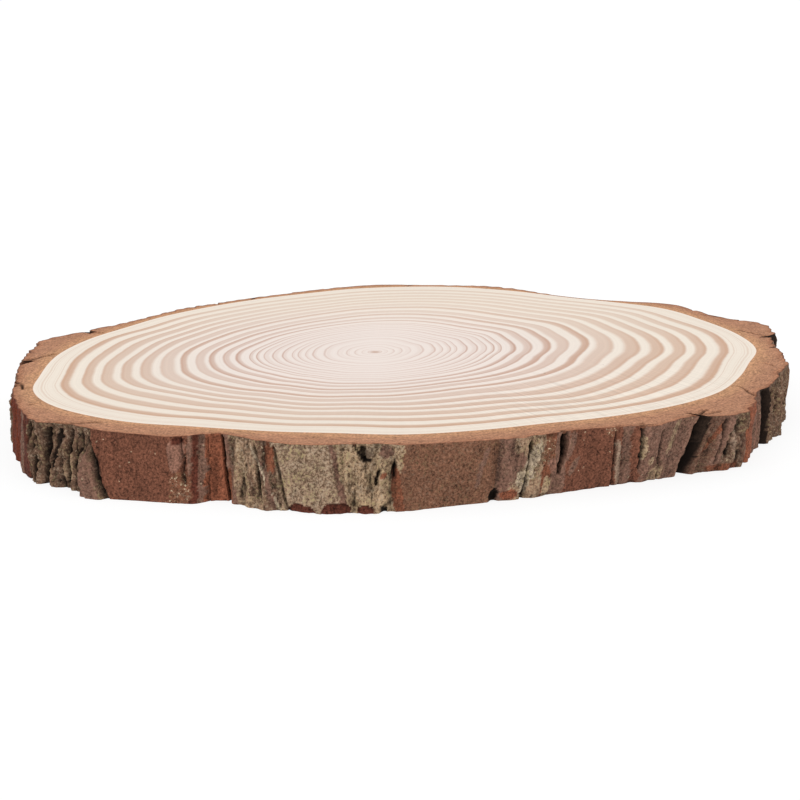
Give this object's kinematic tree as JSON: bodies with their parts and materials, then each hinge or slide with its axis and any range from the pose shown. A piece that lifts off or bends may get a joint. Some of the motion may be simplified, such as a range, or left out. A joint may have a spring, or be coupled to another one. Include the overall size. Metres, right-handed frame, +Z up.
{
  "type": "wood slice",
  "caption": "Roundish slice sawn across a softwood trunk, flat on both cuts, with growth rings and rough furrowed bark left all round its edge.",
  "frame": {"origin": "under the middle of the slice's box, in the plane of the lower saw cut", "axes": "+Z up through the thickness, +X along the slice's longest width, -Y towards the side that faces the viewer"},
  "size_m": [0.2649, 0.2579, 0.0185],
  "materials": {
    "wood": "pale sawn softwood with pinkish tan growth rings, dry and matt",
    "bark": "rough red-brown and grey bark with lichen, orange tan where it is sawn, matt"
  },
  "bodies": {
    "root": {"wood_slice": "wood"}
  },
  "joints": []
}
